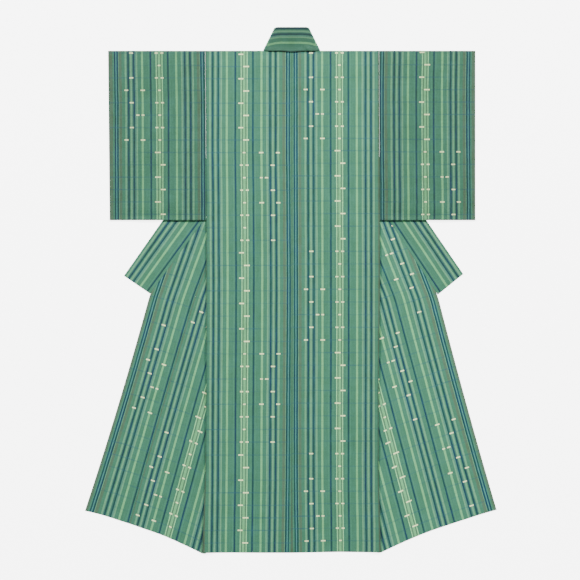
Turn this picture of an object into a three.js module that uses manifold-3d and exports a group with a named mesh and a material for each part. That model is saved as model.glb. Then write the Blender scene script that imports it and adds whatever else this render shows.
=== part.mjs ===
// A kimono laid out flat on its front, back upwards, with both fronts opened out to the sides.
//
// Millimetres. X runs across the garment from its centre back seam, Y from the hem towards
// the collar, and Z up from the surface that it lies on.
//
// Each cut piece of cloth is a wall on its own layer. Lowest are the spread fronts, their
// overlap panels and the collar's two ends. Over them lies the stretch of each front that is
// turned in beneath the back, and the back panels lie on top. A sleeve is a flattened tube,
// with its lower cloth on the floor or on the collar.

import * as THREE from 'three';
import { mergeVertices } from 'three/addons/utils/BufferGeometryUtils.js';
import Module from 'manifold-3d';

const { lerp, clamp, smoothstep, degToRad } = THREE.MathUtils;

// Cloth
const CLOTH = 1.2; // thickness of each wall
const GAP = 0.3; // between neighbouring pieces
const LAYER = CLOTH + GAP; // from one layer to the next above it
const FOLD_RADIUS = LAYER / 2; // of the middle of the wall, where cloth turns back on itself
const FOLD_STEPS = 4; // facets in such a half turn

// Body, from the centre back seam outwards
const SHOULDER_Y = 791.3;
const HEM_Y = -866;
const NECK_HALF_WIDTH = 95;
const SHOULDER_LAP = 6; // how far the shoulder's turned edge runs onto the back

// Sleeves
const SLEEVE_BOTTOM_Y = 230;
const CUFF_OPENING = 230; // open length of the outer edge, below the shoulder
const CUFF_SEAM_WIDTH = 5;
const CUFF_SEAM_INSET = 1; // from the outer edge

// Collar where it crosses the back of the neck
const NECK_TOP_Y = 869.9;
const NECK_TOP_HALF_WIDTH = 56;
const NECK_TURN_IN = 22; // depth of cloth turned under along the top
const NECK_SIDE_LAP = 4; // how far each side's turned edge runs onto the neck stretch

// Line along which each front turns back outwards, beneath the back panel
const TURN = { hemX: 284, lean: 8.2 };
const TURN_TOP_Y = 500; // the folded front ends here, and its shoulder stretch goes on
const COLLAR_TURN = { seamY: 527, freeY: 766 }; // the part of the line that folds the collar

// Spread fronts: the overlap panel's seam divides the hem at this share of its width
const OVERLAP_SHARE = 0.62;
const FRONT_HEM_Y = -868.5; // at the side seam, a little below the back's hem
const HEM_HOLLOW = 12; // depth of the hem's inward curve
const HEM_CURVE_SHARE = 1 / 3; // share of the front's height over which that curve dies out

// How far a layer's support reaches past the edge of the cloth beneath, before it falls away
const TURN_SUPPORT = { full: 10, none: 40 };
const COLLAR_SUPPORT = { full: 45, none: 135 };
const NECK_SETTLE = 60; // above the shoulder, until the neck lies on its own turned cloth alone

// Soft waves of the upper layer. They die out between the two distances from a folded edge.
const WAVE = { height: 1.1, across: 310, along: 420, drift: 900 };
const SHOULDER_RIM = { flat: 8, full: 60 };
const SLEEVE_RIM = { flat: 8, full: 40 };

// The two sides differ a little. Points are [outwards, up]. The side seam and the sleeve's outer
// edge run through their points. Lean is a warp line's angle from the length of the garment at
// the hem, turn is its change in degrees over a metre, and bend is the further distance that a
// warp line runs inwards for each millimetre of height above its soft bend.
const BEND = { y: -45, arc: 40 };
const SIDES = [
  {
    name: 'left',
    hand: -1,
    sideSeam: [[295, -866], [285, -600], [281.3, -300], [281.5, 280], [285, 791.3]],
    cuff: [[600.5, 230], [606, 791.3]],
    hemCorner: [682.5, -728.5],
    collarSeam: [[467.5, -10.5], [291.7, 229.4]],
    collarFree: [[554, 48.5], [427.5, 229.4]],
    warp: [
      { at: 0, lean: 15, turn: 0 },
      { at: OVERLAP_SHARE, lean: 15.3, turn: 1.9 },
      { at: 1, lean: 18.2, turn: -4 },
    ],
    bend: 0.07,
  },
  {
    name: 'right',
    hand: 1,
    sideSeam: [[294, -866], [286.5, -600], [286.5, -300], [291, -10], [291, 130], [288, 791.3]],
    cuff: [[606, 230], [606, 791.3]],
    hemCorner: [676.5, -724],
    collarSeam: [[482, -14], [322.4, 229.4]],
    collarFree: [[566.5, 54.5], [446.5, 229.4]],
    warp: [
      { at: 0, lean: 14.4, turn: 0 },
      { at: OVERLAP_SHARE, lean: 14.9, turn: 0 },
      { at: 1, lean: 16.4, turn: -2.8 },
    ],
    bend: 0.128,
  },
];

// Colours of the woven cloth, seen from a distance
const GREEN = 0x5f9a78;
const COLLAR_GREEN = 0x659f7e;

const wasm = await Module();
wasm.setup();

// Small helpers

// Even shares from 0 to 1, in a number of steps.
const shares = (steps) => Array.from({ length: steps + 1 }, (_, i) => i / steps);

const between = (a, b, share) => a.map((value, i) => lerp(value, b[i], share));

// Where a place falls between two of the rising values of a short list: the second one's
// index, and the share of the way to it.
function placeAmong(values, at) {
  const found = values.findIndex((value) => value >= at);
  const next = Math.max(1, found < 0 ? values.length - 1 : found);
  return [next, clamp((at - values[next - 1]) / (values[next] - values[next - 1]), 0, 1)];
}

// Distance outwards of a line through points, at a height.
function lineX(points, y) {
  const [next, share] = placeAmong(points.map((point) => point[1]), y);
  return lerp(points[next - 1][0], points[next][0], share);
}

// The point at a share of the way along a short path of straight stretches.
function alongPath(path, share) {
  const place = share * (path.length - 1);
  const leg = Math.min(Math.floor(place), path.length - 2);
  return between(path[leg], path[leg + 1], place - leg);
}

const turnX = (y) => TURN.hemX - (y - HEM_Y) * Math.tan(degToRad(TURN.lean));

const collarSeamPath = (side) => [
  ...side.collarSeam,
  [turnX(COLLAR_TURN.seamY), COLLAR_TURN.seamY],
];

const collarFreePath = (side) => [
  ...side.collarFree,
  [turnX(COLLAR_TURN.freeY), COLLAR_TURN.freeY],
];

// How far a point lies inside the collar's free edge, which bounds the lowest layer.
function insideCollar(side, x, y) {
  const [, under, end] = collarFreePath(side);
  const [dx, dy] = [end[0] - under[0], end[1] - under[1]];
  return -((x - under[0]) * dy - (y - under[1]) * dx) / Math.hypot(dx, dy);
}

// Share of the lowest layer's height that is felt at a point, and of the turned-in layer's.
function overLowest(side, x, y) {
  const inside = insideCollar(side, x, y);
  const settled = 1 - smoothstep(y, SHOULDER_Y, SHOULDER_Y + NECK_SETTLE);
  return settled * smoothstep(inside, -COLLAR_SUPPORT.none, -COLLAR_SUPPORT.full);
}

function overTurnedIn(x, y) {
  const edge = turnX(y);
  return smoothstep(x, edge - TURN_SUPPORT.none, edge - TURN_SUPPORT.full);
}

// Soft waves, never below zero, dying out towards the shoulder fold.
function wave(x, y) {
  const across = Math.sin(2 * Math.PI * (x / WAVE.across + y / WAVE.drift));
  const along = Math.cos((2 * Math.PI * y) / WAVE.along);
  const rim = smoothstep(SHOULDER_Y - y, SHOULDER_RIM.flat, SHOULDER_RIM.full);
  return WAVE.height * rim * (1 + across * along);
}

// A half turn of cloth: points round an arc from one layer to the next. The arc bulges along
// the direction out, and its start is the point on the lower or the upper layer.
function halfTurn(start, out, rising) {
  return shares(FOLD_STEPS).slice(1, -1).map((share) => {
    const angle = Math.PI * share;
    const reach = FOLD_RADIUS * Math.sin(angle);
    const lift = rising * FOLD_RADIUS * (1 - Math.cos(angle));
    return [start[0] + out[0] * reach, start[1] + out[1] * reach, start[2] + lift];
  });
}

// A wall of even thickness about a grid of points. Rows may close on themselves as a ring.
function wallData(rows, ring = false) {
  const m = rows.length;
  const n = rows[0].length;
  const point = (i, j) => new THREE.Vector3(...rows[i][j]);
  const rowAt = (i) => (ring ? (i + m) % m : Math.min(Math.max(i, 0), m - 1));
  const columnAt = (j) => Math.min(Math.max(j, 0), n - 1);
  const positions = [];
  for (const face of [0.5, -0.5]) {
    for (let i = 0; i < m; i += 1) {
      for (let j = 0; j < n; j += 1) {
        const alongRows = point(rowAt(i + 1), j).sub(point(rowAt(i - 1), j));
        const acrossRow = point(i, columnAt(j + 1)).sub(point(i, columnAt(j - 1)));
        const normal = acrossRow.cross(alongRows).normalize();
        positions.push(...point(i, j).addScaledVector(normal, face * CLOTH).toArray());
      }
    }
  }
  const upper = (i, j) => (i % m) * n + j;
  const lower = (i, j) => m * n + upper(i, j);
  const triangles = [];
  const quad = (a, b, c, d) => triangles.push(a, b, c, a, c, d);
  const lastRow = ring ? m : m - 1;
  for (let i = 0; i < lastRow; i += 1) {
    for (let j = 0; j < n - 1; j += 1) {
      quad(upper(i, j), upper(i, j + 1), upper(i + 1, j + 1), upper(i + 1, j));
      quad(lower(i, j), lower(i + 1, j), lower(i + 1, j + 1), lower(i, j + 1));
    }
    quad(upper(i, 0), upper(i + 1, 0), lower(i + 1, 0), lower(i, 0));
    quad(upper(i, n - 1), lower(i, n - 1), lower(i + 1, n - 1), upper(i + 1, n - 1));
  }
  for (let j = 0; j < n - 1 && !ring; j += 1) {
    quad(upper(0, j), lower(0, j), lower(0, j + 1), upper(0, j + 1));
    quad(upper(m - 1, j), upper(m - 1, j + 1), lower(m - 1, j + 1), lower(m - 1, j));
  }
  return { positions, triangles };
}

// Six times the signed volume, which is negative where the faces point inwards.
function signedVolume({ positions, triangles }) {
  const corner = (index) => new THREE.Vector3().fromArray(positions, 3 * index);
  let total = 0;
  for (let k = 0; k < triangles.length; k += 3) {
    const [a, b, c] = [0, 1, 2].map((step) => corner(triangles[k + step]));
    total += a.dot(b.cross(c));
  }
  return total;
}

// Mirrors a wall to its side of the garment, and turns its faces outwards.
function placed(data, hand) {
  const positions = data.positions.map((value, k) => (k % 3 === 0 ? hand * value : value));
  const mirrored = { positions, triangles: data.triangles };
  if (signedVolume(mirrored) < 0) mirrored.triangles = [...data.triangles].reverse();
  return mirrored;
}

function geometryOf({ positions, triangles }) {
  const geometry = new THREE.BufferGeometry();
  geometry.setAttribute('position', new THREE.Float32BufferAttribute(positions, 3));
  geometry.setIndex(triangles);
  geometry.computeVertexNormals();
  return geometry;
}

// Joins two closed geometries into one body.
function fused(first, second) {
  const solid = (geometry) => {
    const bare = geometry.clone();
    bare.deleteAttribute('normal');
    const merged = mergeVertices(bare);
    return new wasm.Manifold(new wasm.Mesh({
      numProp: 3,
      vertProperties: new Float32Array(merged.attributes.position.array),
      triVerts: new Uint32Array(merged.index.array),
    }));
  };
  const mesh = solid(first).add(solid(second)).getMesh();
  return geometryOf({ positions: [...mesh.vertProperties], triangles: [...mesh.triVerts] });
}

function named(name, colour, geometry) {
  const material = new THREE.MeshStandardMaterial({ color: colour, roughness: 0.85, metalness: 0 });
  const mesh = new THREE.Mesh(geometry, material);
  mesh.name = name;
  return mesh;
}

// A point on the middle of a wall that lies a number of layers above the floor.
const onLayer = ([x, y], layers) => [x, y, layers * LAYER + CLOTH / 2];

// Back panel: flat on the floor by the centre seam, and lifted by the layers beneath further
// out. Its top edge is the neckline, and past that it meets the shoulder's turned edge.
const BACK_ROWS = 24;
const BACK_INNER_SHARES = [0, 0.4, 0.75, 1];
const BACK_SLOPE_SHARES = [0.33, 0.67, 1];
const BACK_OUTER_SHARES = [0.09, 0.17, 'neck', 'shoulder', 0.38, 0.5, 0.62, 0.74, 0.87, 1];

const NECK_CORNER_WIDTH = 2; // between the neckline's end and the shoulder's turned edge

function backColumnX(side, column, y) {
  const slopeStart = turnX(y) - TURN_SUPPORT.none;
  const slopeEnd = turnX(y) - TURN_SUPPORT.full;
  const topStart = turnX(SHOULDER_Y) - TURN_SUPPORT.full;
  const topEnd = lineX(side.sideSeam, SHOULDER_Y);
  const shareAtTop = (x) => (x - topStart) / (topEnd - topStart);
  const special = {
    neck: shareAtTop(NECK_HALF_WIDTH),
    shoulder: shareAtTop(NECK_HALF_WIDTH + NECK_CORNER_WIDTH),
  };
  if (column.zone === 'inner') return lerp(GAP / 2, slopeStart, column.share);
  if (column.zone === 'slope') return lerp(slopeStart, slopeEnd, column.share);
  return lerp(slopeEnd, lineX(side.sideSeam, y), special[column.share] ?? column.share);
}

function backPanel(side) {
  const zoned = (zone, list) => list.map((share) => ({ zone, share }));
  const columns = [
    ...zoned('inner', BACK_INNER_SHARES),
    ...zoned('slope', BACK_SLOPE_SHARES),
    ...zoned('outer', BACK_OUTER_SHARES),
  ];
  const neckColumn = columns.findIndex((column) => column.share === 'neck');
  const rows = shares(BACK_ROWS).map((share) => columns.map((column, index) => {
    const x = backColumnX(side, column, lerp(HEM_Y, SHOULDER_Y, share));
    const topY = index > neckColumn ? SHOULDER_Y - SHOULDER_LAP - GAP : SHOULDER_Y;
    const y = lerp(HEM_Y, topY, share);
    const turnedIn = overTurnedIn(x, y);
    const [, , z] = onLayer([x, y], turnedIn * (1 + overLowest(side, x, y)));
    return [x, y, z + turnedIn * wave(x, y)];
  }));
  return geometryOf(placed(wallData(rows), side.hand));
}

// Sleeve: a flattened tube, folded along its top, sewn along its bottom and along its outer
// edge below the cuff opening. Its upper cloth shares the back's waves beside the body.
const SLEEVE_ROWS = 14;
const SLEEVE_COLUMNS = [0, 0.1, 0.2, 0.3, 0.4, 0.5, 0.6, 0.7, 0.8, 0.9, 0.96, 1];

function sleeve(side) {
  const topY = SHOULDER_Y - CLOTH / 2 - FOLD_RADIUS;
  const bottomY = SLEEVE_BOTTOM_Y + CLOTH / 2 + FOLD_RADIUS;
  const lying = (across, y, upper) => {
    const cuffX = lineX(side.cuff, y);
    const x = lerp(lineX(side.sideSeam, y) + GAP, cuffX, across);
    const rim = smoothstep(cuffX - x, SLEEVE_RIM.flat, SLEEVE_RIM.full)
      * smoothstep(y - SLEEVE_BOTTOM_Y, SLEEVE_RIM.flat, SLEEVE_RIM.full);
    const [, , z] = onLayer([x, y], overLowest(side, x, y) + upper);
    return [x, y, z + upper * rim * wave(x, y)];
  };
  const rowsBetween = (startY, endY, upper) => shares(SLEEVE_ROWS)
    .map((share) => SLEEVE_COLUMNS.map((across) => lying(across, lerp(startY, endY, share), upper)));
  const upperRows = rowsBetween(topY, bottomY, 1);
  const lowerRows = rowsBetween(bottomY, topY, 0);
  const turnRows = (edge, out, rising) => shares(FOLD_STEPS).slice(1, -1)
    .map((_, step) => edge.map((start) => halfTurn(start, out, rising)[step]));
  const ring = [
    ...upperRows,
    ...turnRows(upperRows.at(-1), [0, -1], -1),
    ...lowerRows,
    ...turnRows(lowerRows.at(-1), [0, 1], 1),
  ];
  const tube = geometryOf(placed(wallData(ring, true), side.hand));
  const seam = [SLEEVE_BOTTOM_Y + CLOTH, SHOULDER_Y - CUFF_OPENING]
    .map((y) => [CUFF_SEAM_INSET + CUFF_SEAM_WIDTH, CUFF_SEAM_INSET]
      .map((inset) => onLayer([lineX(side.cuff, y) - inset, y], 0.5)));
  return fused(tube, geometryOf(placed(wallData(seam), side.hand)));
}

// The hem of the spread front, at a share of its width from the side seam: a shallow inward
// curve. Beneath the back it runs on straight.
const hemStart = (side) => [side.sideSeam[0][0], FRONT_HEM_Y];

function hemPoint(side, at) {
  const [x, y] = between(hemStart(side), side.hemCorner, at);
  return [x, Math.max(y, FRONT_HEM_Y) + HEM_HOLLOW * 4 * Math.max(0, at * (1 - at))];
}

// How far a warp line has run inwards at a height because of its soft bend, which is an arc.
function bendInwards(side, y) {
  const past = Math.max(0, y - BEND.y);
  return side.bend * (past < BEND.arc ? past ** 2 / (2 * BEND.arc) : past - BEND.arc / 2);
}

// A warp line of the spread front curves evenly: it starts on the hem at a share of the width
// and leans inwards on its way up.
function warpPoint(side, at, along) {
  const [x, y] = hemPoint(side, at);
  const [next, share] = placeAmong(side.warp.map((row) => row.at), at);
  const [low, high] = [side.warp[next - 1], side.warp[next]];
  const turnPerMillimetre = lerp(low.turn, high.turn, share) / 1000;
  const angle = degToRad(lerp(low.lean, high.lean, share) + (turnPerMillimetre * along) / 2);
  const raisedY = y + along * Math.cos(angle);
  return [x - along * Math.sin(angle) - bendInwards(side, raisedY), raisedY];
}

// Distance outwards at which the cloth sewn to the collar ends, at a height: the line of the
// collar seam's shown leg, or above that leg the hidden one where it lies further in.
function collarSeamX(side, y) {
  const [start, under, end] = collarSeamPath(side);
  const onLeg = (a, b) => lerp(a[0], b[0], (y - a[1]) / (b[1] - a[1]));
  const shown = onLeg(start, under);
  return y > under[1] ? Math.min(shown, onLeg(under, end)) : shown;
}

// Length of a warp line up to the collar's seam, found by halving.
const LONGEST_WARP = 2000;
const HALVINGS = 40;

function lengthToCollar(side, at) {
  let [low, high] = [0, LONGEST_WARP];
  for (let step = 0; step < HALVINGS; step += 1) {
    const middle = (low + high) / 2;
    const [x, y] = warpPoint(side, at, middle);
    if (x < collarSeamX(side, y)) low = middle;
    else high = middle;
  }
  return low;
}

// Overlap panel: between the front's seam and its own free edge, up to the collar. It has as
// many rows as the front beside it, so that the points of their seam face each other.
const ROWS_TO_COLLAR = 20;
const OVERLAP_COLUMNS = 4;
const OVERLAP_SEAM = 0.0004; // half of the gap at the seam, as a share of the hem's width
const COLLAR_SEAM_GAP = 2 * GAP; // measured along the warp, as the collar crosses it aslant

function overlapPanel(side) {
  const rows = shares(ROWS_TO_COLLAR).map((up) => shares(OVERLAP_COLUMNS).map((across) => {
    const at = lerp(OVERLAP_SHARE + OVERLAP_SEAM, 1, across);
    const length = lengthToCollar(side, at) - COLLAR_SEAM_GAP;
    return onLayer(warpPoint(side, at, up * length), 0);
  }));
  return geometryOf(placed(wallData(rows), side.hand));
}

// Front panel: spread out on the floor, folded back along the turn line, and lying beneath the
// back as far as the side seam.
const ROWS_PAST_COLLAR = 4;
const FRONT_COLUMNS = 6;
const TURNED_IN_COLUMNS = 5;
const FRONT_TIP = 11; // width left at the upper end of the spread stretch

function frontPanel(side) {
  const seamAt = OVERLAP_SHARE - OVERLAP_SEAM;
  const seamLength = lengthToCollar(side, seamAt) - COLLAR_SEAM_GAP;
  const collarPoint = warpPoint(side, seamAt, seamLength);
  const tip = [turnX(TURN_TOP_Y) + FRONT_TIP, TURN_TOP_Y];
  const foldAt = (share) => {
    const y = lerp(FRONT_HEM_Y, TURN_TOP_Y, share);
    return [turnX(y), y];
  };
  const hemLift = (across) => {
    const [x, y] = between(hemPoint(side, seamAt), foldAt(0), across);
    const start = hemStart(side)[0];
    return hemPoint(side, (x - start) / (side.hemCorner[0] - start))[1] - y;
  };
  const rows = shares(ROWS_TO_COLLAR + ROWS_PAST_COLLAR).map((share, index) => {
    const fold = foldAt(share);
    const up = index / ROWS_TO_COLLAR;
    const past = (index - ROWS_TO_COLLAR) / ROWS_PAST_COLLAR;
    const seam = up <= 1
      ? warpPoint(side, seamAt, up * seamLength)
      : between(collarPoint, tip, past);
    const curve = Math.max(0, 1 - share / HEM_CURVE_SHARE);
    const spread = shares(FRONT_COLUMNS).map((across) => {
      const [x, y] = between(seam, fold, across);
      return onLayer([x, y + curve * hemLift(across)], 0);
    });
    const turned = onLayer(fold, 1);
    const sideSeam = onLayer([lineX(side.sideSeam, fold[1]) - GAP, fold[1]], 1);
    const inner = shares(TURNED_IN_COLUMNS).map((across) => between(turned, sideSeam, across));
    return [...spread, ...halfTurn(onLayer(fold, 0), [-1, 0], 1), ...inner];
  });
  return geometryOf(placed(wallData(rows), side.hand));
}

// The front's upper stretch beneath the back, from the folded part up to the shoulder, where
// it turns over onto the back's side.
const SHOULDER_ROWS = 8;
const SHOULDER_COLUMNS = 7;
const SHOULDER_CLEARANCE = CLOTH + 3 * GAP; // between its inner edge and the collar's seam

function shoulderStretch(side) {
  const topY = SHOULDER_Y - CLOTH / 2 - FOLD_RADIUS;
  const collarLine = [
    [turnX(TURN_TOP_Y), TURN_TOP_Y],
    [turnX(COLLAR_TURN.seamY), COLLAR_TURN.seamY],
    [NECK_HALF_WIDTH, SHOULDER_Y],
  ];
  const pointAt = (across, y, upper) => {
    const innerX = lineX(collarLine, y) + SHOULDER_CLEARANCE;
    const x = lerp(innerX, lineX(side.sideSeam, y) - GAP, across);
    return onLayer([x, y], overLowest(side, x, y) + upper);
  };
  const ys = [
    TURN_TOP_Y + GAP,
    ...shares(SHOULDER_ROWS).map((share) => lerp(COLLAR_TURN.seamY, topY, share)),
  ];
  const lower = ys.map((y) => shares(SHOULDER_COLUMNS).map((across) => pointAt(across, y, 0)));
  const turn = shares(FOLD_STEPS).slice(1, -1)
    .map((_, step) => lower.at(-1).map((start) => halfTurn(start, [0, 1], 1)[step]));
  const lap = [topY, SHOULDER_Y - SHOULDER_LAP]
    .map((y) => shares(SHOULDER_COLUMNS).map((across) => {
      const [x, , z] = pointAt(across, topY, 1);
      return [x, y, z];
    }));
  return geometryOf(placed(wallData([...lower, ...turn, ...lap]), side.hand));
}

// Collar end: from its cut end it runs up beneath the sleeve and the back, is folded there
// along the turn line, and comes up to the neck, where it turns over once more.
const COLLAR_ROWS = { shown: 4, hidden: 9, raised: 6 };
const COLLAR_COLUMNS = 5;
const NECK_FREE_DROP = 5; // how far the hidden free edge stops short of the neck's top edge
const NECK_SLOPE = Math.atan2(NECK_HALF_WIDTH - NECK_TOP_HALF_WIDTH, NECK_TOP_Y - SHOULDER_Y);
const NECK_TURN_INSET = (FOLD_RADIUS + CLOTH / 2) / Math.cos(NECK_SLOPE);

const neckSideX = (y) => NECK_HALF_WIDTH - (y - SHOULDER_Y) * Math.tan(NECK_SLOPE);

function collarSide(side) {
  const seamPath = collarSeamPath(side);
  const freePath = collarFreePath(side);
  const low = [
    ...shares(COLLAR_ROWS.shown).slice(0, -1).map((share) => share / 2),
    ...shares(COLLAR_ROWS.hidden).map((share) => 0.5 + share / 2),
  ].map((share) => shares(COLLAR_COLUMNS).map((across) => onLayer(
    between(alongPath(seamPath, share), alongPath(freePath, share), across),
    0,
  )));
  const turned = low.at(-1);
  const out = [-Math.cos(degToRad(TURN.lean)), -Math.sin(degToRad(TURN.lean))];
  const firstTurn = shares(FOLD_STEPS).slice(1, -1)
    .map((_, step) => turned.map((start) => halfTurn(start, out, 1)[step]));
  const onNeckTurn = (y) => [neckSideX(y) - NECK_TURN_INSET, y];
  const neckSeam = onNeckTurn(SHOULDER_Y + GAP);
  const neckFree = onNeckTurn(NECK_TOP_Y - NECK_FREE_DROP);
  const raised = shares(COLLAR_ROWS.raised).map((share) => shares(COLLAR_COLUMNS).map((across) => {
    const start = turned[Math.round(across * COLLAR_COLUMNS)];
    const [x, y] = between(start.slice(0, 2), between(neckSeam, neckFree, across), share);
    return onLayer([x, y], share === 0 ? 1 : overLowest(side, x, y));
  }));
  const outwards = [Math.cos(NECK_SLOPE), Math.sin(NECK_SLOPE)];
  const lastRow = raised.at(-1);
  const secondTurn = shares(FOLD_STEPS).slice(1, -1)
    .map((_, step) => lastRow.map((start) => halfTurn(start, outwards, 1)[step]));
  const lap = [0, NECK_SIDE_LAP].map((width) => lastRow.map(([x, y, z]) => (
    [x - width / outwards[0], y, z + LAYER]
  )));
  const rows = [...low, ...firstTurn, ...raised, ...secondTurn, ...lap];
  return geometryOf(placed(wallData(rows), side.hand));
}

// Collar at the back of the neck: its upper cloth between the two turned sides, with the rest
// of its width turned under along the top.
const NECK_ROWS = 9;
const NECK_COLUMNS = 20;
const NECK_FLAT_SHARE = 0.75; // share of the top's width that has the full turn-in
const NECK_SLOPE_START = 8; // from the neckline, where the cloth begins to rise
const NECK_SLOPE_END = 12; // from the turned-in cloth, where it is fully raised

function collarNeck() {
  const [left, right] = SIDES;
  const topY = NECK_TOP_Y - CLOTH / 2 - FOLD_RADIUS;
  const lapInset = (NECK_SIDE_LAP + GAP) / Math.cos(NECK_SLOPE);
  const halfWidth = (y) => neckSideX(y) - NECK_TURN_INSET - lapInset;
  const pointAt = (across, y) => {
    const x = across * halfWidth(y);
    const side = x < 0 ? left : right;
    const beside = overTurnedIn(Math.abs(x), y) * (1 + overLowest(side, Math.abs(x), y));
    const slopeEnd = NECK_TOP_Y - NECK_TURN_IN - NECK_SLOPE_END;
    const overTurnIn = smoothstep(y, SHOULDER_Y + NECK_SLOPE_START, slopeEnd);
    return onLayer([x, y], Math.max(beside, overTurnIn));
  };
  const acrossShares = shares(NECK_COLUMNS).map((share) => 2 * share - 1);
  const upper = shares(NECK_ROWS).map((share) => {
    const y = lerp(SHOULDER_Y + GAP, topY, share);
    return acrossShares.map((across) => pointAt(across, y));
  });
  const edge = upper.at(-1);
  const turn = shares(FOLD_STEPS).slice(1, -1)
    .map((_, step) => edge.map((start) => halfTurn(start, [0, 1], -1)[step]));
  const under = [0, 0.5, 1].map((share) => acrossShares.map((across, index) => {
    const [x, y, z] = edge[index];
    const depth = Math.abs(across) < NECK_FLAT_SHARE ? NECK_TURN_IN : CLOTH / 2;
    return [x, y - share * depth, z - LAYER];
  }));
  return geometryOf(placed(wallData([...upper, ...turn, ...under]), 1));
}

// The whole garment
const kimono = new THREE.Group();
for (const side of SIDES) {
  kimono.add(named(`back_${side.name}`, GREEN, backPanel(side)));
  kimono.add(named(`sleeve_${side.name}`, GREEN, sleeve(side)));
  kimono.add(named(`front_${side.name}`, GREEN, frontPanel(side)));
  kimono.add(named(`shoulder_${side.name}`, GREEN, shoulderStretch(side)));
  kimono.add(named(`okumi_${side.name}`, GREEN, overlapPanel(side)));
  kimono.add(named(`collar_${side.name}`, COLLAR_GREEN, collarSide(side)));
}
kimono.add(named('collar_neck', COLLAR_GREEN, collarNeck()));

export default kimono;
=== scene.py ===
"""A striped kimono laid out flat, back upwards, with both fronts opened to the sides.

Metres, in the model's own frame: X across from the centre back seam, Y from the hem towards
the collar, Z up from the floor. Every panel is a thin shell of cloth on its solid's form. Its
UV map holds cloth coordinates: u is the distance across from the middle of the loom width and
v the distance along the warp, both in metres, so that one woven pattern serves every panel.
Its point attribute "shade" holds painted shade along seams and turned edges.
"""
import math

import bpy
import numpy as np
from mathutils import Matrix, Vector


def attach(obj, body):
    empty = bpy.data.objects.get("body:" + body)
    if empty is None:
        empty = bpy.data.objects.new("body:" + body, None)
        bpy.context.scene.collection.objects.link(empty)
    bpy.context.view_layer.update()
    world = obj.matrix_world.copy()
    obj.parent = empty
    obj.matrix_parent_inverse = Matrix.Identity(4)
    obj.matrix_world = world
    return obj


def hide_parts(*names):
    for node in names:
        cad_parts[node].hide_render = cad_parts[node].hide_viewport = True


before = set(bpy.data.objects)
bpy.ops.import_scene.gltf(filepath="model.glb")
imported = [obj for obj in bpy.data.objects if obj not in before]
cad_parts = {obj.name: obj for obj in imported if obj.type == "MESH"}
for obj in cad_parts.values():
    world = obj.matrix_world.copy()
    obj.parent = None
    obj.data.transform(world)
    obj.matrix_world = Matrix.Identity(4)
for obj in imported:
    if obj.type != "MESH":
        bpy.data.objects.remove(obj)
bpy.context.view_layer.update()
MM = 0.001

# Sizes of the garment, as its solids have them
LAYER = 1.5 * MM
CLOTH = 1.2 * MM
SHELL = 1.0 * MM
FOLD_RADIUS = LAYER / 2
SHOULDER_Y = 791.3 * MM
HEM_Y = -866 * MM
NECK_HALF_WIDTH = 95 * MM
SLEEVE_BOTTOM_Y = 231.8 * MM
NECK_TOP_Y = 869.9 * MM
NECK_TOP_HALF_WIDTH = 56 * MM
NECK_TURN_IN = 22 * MM
TURN_HEM_X = 284 * MM
TURN_LEAN = math.radians(8.2)
TURN_TOP_Y = 500 * MM
COLLAR_TURN_SEAM_Y = 527 * MM
COLLAR_TURN_FREE_Y = 766 * MM
OVERLAP_SHARE = 0.62
FRONT_HEM_Y = -868.5 * MM
HEM_HOLLOW = 12 * MM
TURN_SUPPORT = (40 * MM, 10 * MM)
COLLAR_SUPPORT = (135 * MM, 45 * MM)
NECK_SETTLE = 60 * MM
WAVE = {"height": 1.1 * MM, "across": 310 * MM, "along": 420 * MM, "drift": 900 * MM}
GAP = 0.3 * MM
SEAM_BITE = 0.1 * MM  # how far two sewn panels reach past their seam's line
BEND_Y = -45 * MM
BEND_ARC = 40 * MM
SLEEVE_WIDTH = 318 * MM
COLLAR_WIDTH = 104 * MM
OVERLAP_WIDTH = 150 * MM
FRONT_GRID_WIDTH = 250 * MM
FOLD_SHARE_AT_COLLAR = 0.81  # share of the front's turn line that lies below the collar seam
EDGE_LIFT = 0.9 * MM
SLEEVE_EDGE_LIFTS = 2.2  # how many times as high the sleeve's bottom edge is lifted
GOLDEN_ANGLE = 2.39996

# The two sides differ a little. Points are (outwards, up) in millimetres. The side seam and
# the sleeve's outer edge run through their points. A warp row is (share of the hem's width,
# lean in degrees, turn in degrees a metre), and bend is how far a warp line runs further
# inwards for each step of height above its soft bend. The hem's own unevenness is given as
# (share of its width, how far above its curve).
SIDES = {
    "left": {
        "hand": -1,
        "side_seam": ((295, -866), (285, -600), (281.3, -300), (281.5, 280), (285, 791.3)),
        "cuff": ((600.5, 230), (606, 791.3)),
        "hem_corner": (682.5, -728.5),
        "collar_seam": ((467.5, -10.5), (291.7, 229.4)),
        "collar_free": ((554, 48.5), (427.5, 229.4)),
        "warp": ((0, 15, 0), (OVERLAP_SHARE, 15.3, 1.9), (1, 18.2, -4)),
        "bend": 0.07,
        "hem_off": ((0, 0), (0.18, 1.3), (0.32, 2.6), (0.5, 0.6), (0.7, 0.6), (0.86, 2.2), (1, 1.4)),
    },
    "right": {
        "hand": 1,
        "side_seam": ((294, -866), (286.5, -600), (286.5, -300), (291, -10), (291, 130),
                      (288, 791.3)),
        "cuff": ((606, 230), (606, 791.3)),
        "hem_corner": (676.5, -724),
        "collar_seam": ((482, -14), (322.4, 229.4)),
        "collar_free": ((566.5, 54.5), (446.5, 229.4)),
        "warp": ((0, 14.4, 0), (OVERLAP_SHARE, 14.9, 0), (1, 16.4, -2.8)),
        "bend": 0.128,
        "hem_off": ((0, 3), (0.3, 2.1), (0.44, 1.1), (0.58, -1), (0.74, -1.8), (0.86, -0.6), (1, 0.3)),
    },
}

# The picture's scale, and the garment's origin in it, in steps from its top left corner
PIXEL = 3.3 * MM
PICTURE_MIDDLE = (291.7, 290.5)
TICK_PITCH = 41.35 * MM

STEP = 6 * MM
RIM = (0.0, 0.12 * MM, 0.35 * MM, 0.8 * MM)


# Shapes of the layers

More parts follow.
